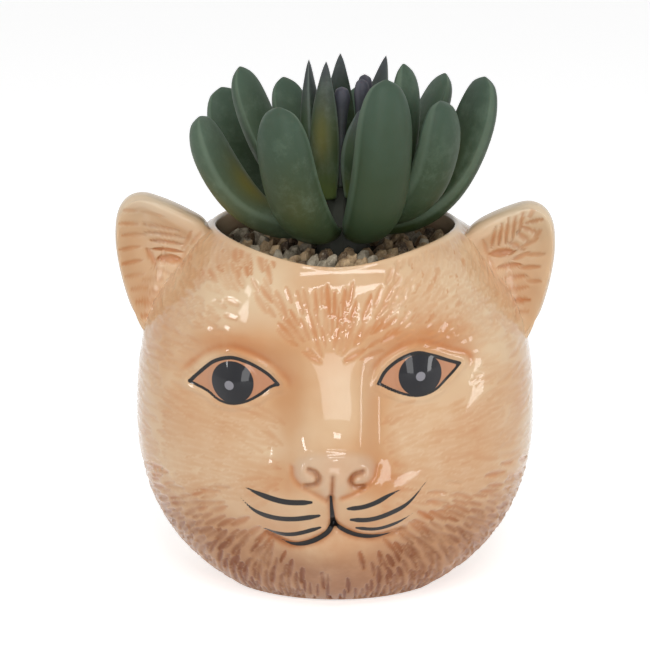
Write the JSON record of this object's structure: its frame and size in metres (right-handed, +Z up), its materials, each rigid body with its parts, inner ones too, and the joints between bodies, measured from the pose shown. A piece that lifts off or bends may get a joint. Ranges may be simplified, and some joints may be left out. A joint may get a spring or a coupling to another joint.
{
  "type": "planter",
  "caption": "Glazed ceramic cat's head planter with cupped ears, holding an artificial finger-leaved succulent in glued gravel.",
  "frame": {"origin": "middle of the footprint, on the surface that the foot stands on", "axes": "+Z up from the foot, -Y the way the cat's face looks, +X the cat's left ear"},
  "size_m": [0.1014, 0.0889, 0.1213],
  "materials": {
    "glazed_pot": "gloss",
    "foam": "matte",
    "core_plastic": "matte",
    "stone_tan": "matte",
    "stone_grey": "matte",
    "stone_brown": "matte",
    "leaf_green": "matte",
    "leaf_tipped": "matte",
    "leaf_purple": "matte"
  },
  "bodies": {
    "root": {"foam_plug": "foam", "gravel_brown": "stone_brown", "gravel_grey": "stone_grey", "gravel_tan": "stone_tan", "leaf_heart_1": "leaf_purple", "leaf_heart_2": "leaf_purple", "leaf_heart_3": "leaf_purple", "leaf_inner_1": "leaf_tipped", "leaf_inner_2": "leaf_tipped", "leaf_inner_3": "leaf_tipped", "leaf_inner_4": "leaf_tipped", "leaf_inner_5": "leaf_tipped", "leaf_middle_1": "leaf_green", "leaf_middle_2": "leaf_green", "leaf_middle_3": "leaf_green", "leaf_middle_4": "leaf_green", "leaf_middle_5": "leaf_green", "leaf_outer_1": "leaf_green", "leaf_outer_2": "leaf_green", "leaf_outer_3": "leaf_green", "leaf_outer_4": "leaf_green", "leaf_outer_5": "leaf_green", "leaf_outer_6": "leaf_green", "leaf_outer_7": "leaf_green", "leaf_outer_8": "leaf_green", "pot_shell": "glazed_pot", "stem_core": "core_plastic"}
  },
  "joints": []
}
